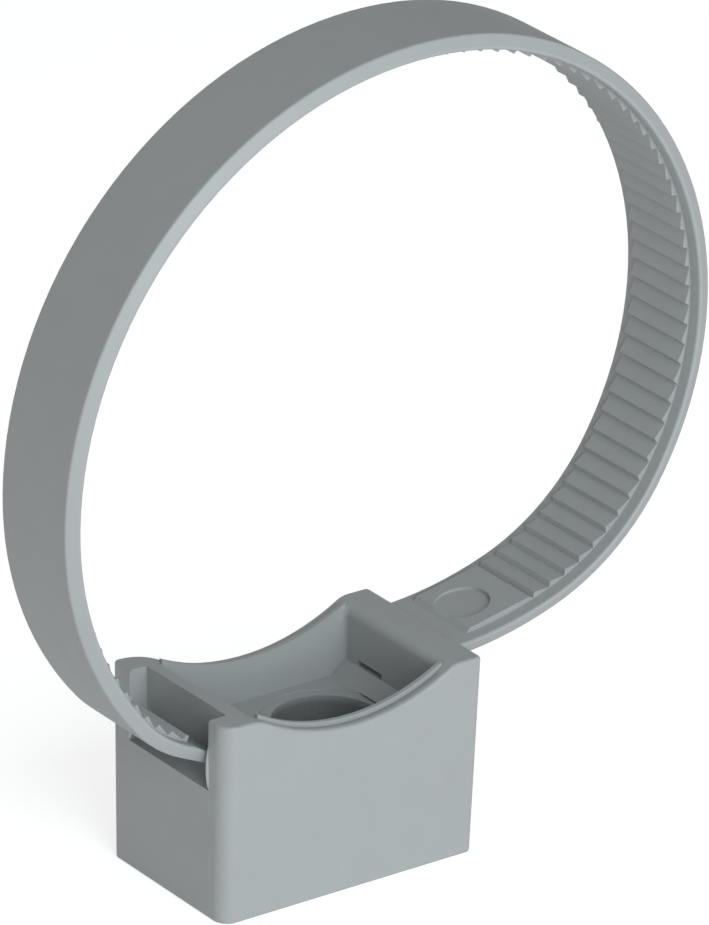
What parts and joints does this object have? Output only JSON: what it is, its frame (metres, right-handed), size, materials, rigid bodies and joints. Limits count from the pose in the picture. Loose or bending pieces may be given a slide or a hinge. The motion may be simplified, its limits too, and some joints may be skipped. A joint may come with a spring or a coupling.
{
  "type": "pipe clip",
  "caption": "One-piece plastic pipe clip: a screw-down block with a saddle top and a toothed strap that loops over the pipe and locks in the block's end.",
  "frame": {"origin": "centre of the block's foot, on the surface the clip is fixed to", "axes": "+Z out of that surface to the pipe, +X towards the end of the block that the strap grows from, +Y along the pipe"},
  "size_m": [0.0587, 0.0146, 0.0657],
  "materials": {
    "moulding": "satin grey polyamide, fine moulded grain"
  },
  "bodies": {
    "root": {"pipe_clip": "moulding"}
  },
  "joints": []
}
